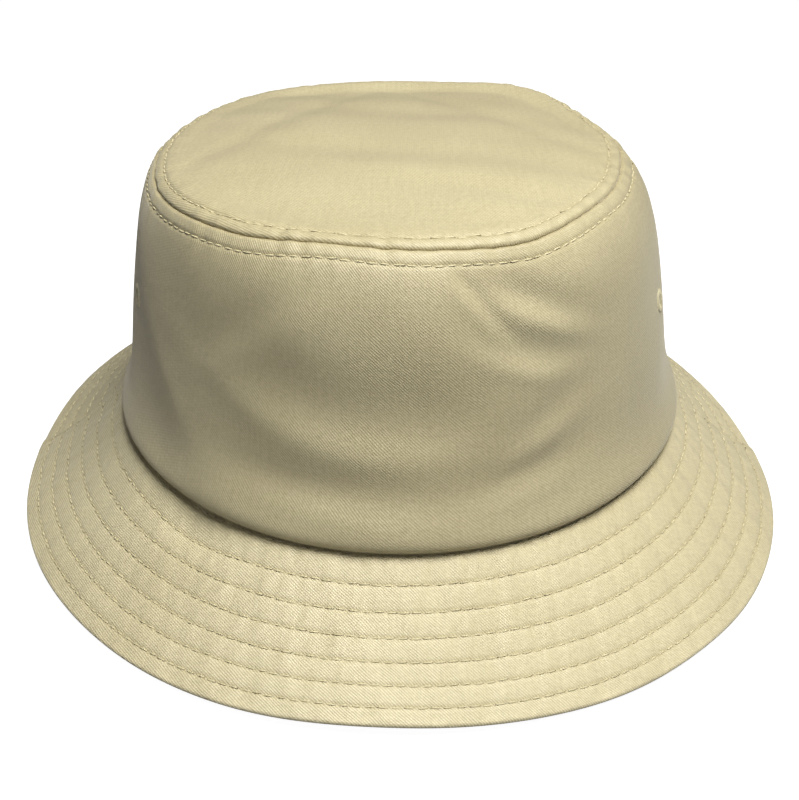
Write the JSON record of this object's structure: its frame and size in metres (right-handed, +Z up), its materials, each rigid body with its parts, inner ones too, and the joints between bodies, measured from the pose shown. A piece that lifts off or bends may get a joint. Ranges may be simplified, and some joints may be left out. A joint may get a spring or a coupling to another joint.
{
  "type": "bucket hat",
  "caption": "Soft bucket hat in cotton twill: oval crown with a set-in tip, sloping brim with concentric stitching, side eyelets and an inner sweatband.",
  "frame": {"origin": "centre of the hat in plan, on the plane that the brim's edge rests on", "axes": "+Z up through the tip, -Y to the front of the hat, +X to the wearer's left as seen from the front"},
  "size_m": [0.2562, 0.2708, 0.1177],
  "materials": {
    "twill_crown": "khaki cotton twill, softly creased",
    "twill_brim": "khaki cotton twill, quilted in concentric rows",
    "twill_under": "khaki cotton twill, underside",
    "interlining": "stiff white non-woven",
    "seam_tape": "bias tape in the same twill",
    "sweatband_cloth": "folded cotton band",
    "label_ribbon": "blank woven ribbon, slight sheen",
    "eyelet_thread": "satin-stitched embroidery thread",
    "sewing_thread": "matte sewing thread, one shade darker than the cloth"
  },
  "bodies": {
    "root": {"crown_tip": "twill_crown", "crown_wall_front": "twill_crown", "crown_wall_back": "twill_crown", "brim_upper_front": "twill_brim", "brim_upper_back": "twill_brim", "brim_interlining_front": "interlining", "brim_interlining_back": "interlining", "brim_under_front": "twill_under", "brim_under_back": "twill_under", "tip_seam_tape": "seam_tape", "side_seam_tape_left": "seam_tape", "side_seam_tape_right": "seam_tape", "sweatband": "sweatband_cloth", "care_label": "label_ribbon", "eyelet_left_front": "eyelet_thread", "eyelet_left_rear": "eyelet_thread", "eyelet_right_front": "eyelet_thread", "eyelet_right_rear": "eyelet_thread", "tip_topstitch": "sewing_thread", "wall_topstitch": "sewing_thread", "headline_seam": "sewing_thread", "brim_stitch_row_1": "sewing_thread", "brim_stitch_row_2": "sewing_thread", "brim_stitch_row_3": "sewing_thread", "brim_stitch_row_4": "sewing_thread", "brim_stitch_row_5": "sewing_thread", "brim_stitch_row_6": "sewing_thread", "brim_stitch_row_7": "sewing_thread"}
  },
  "joints": []
}
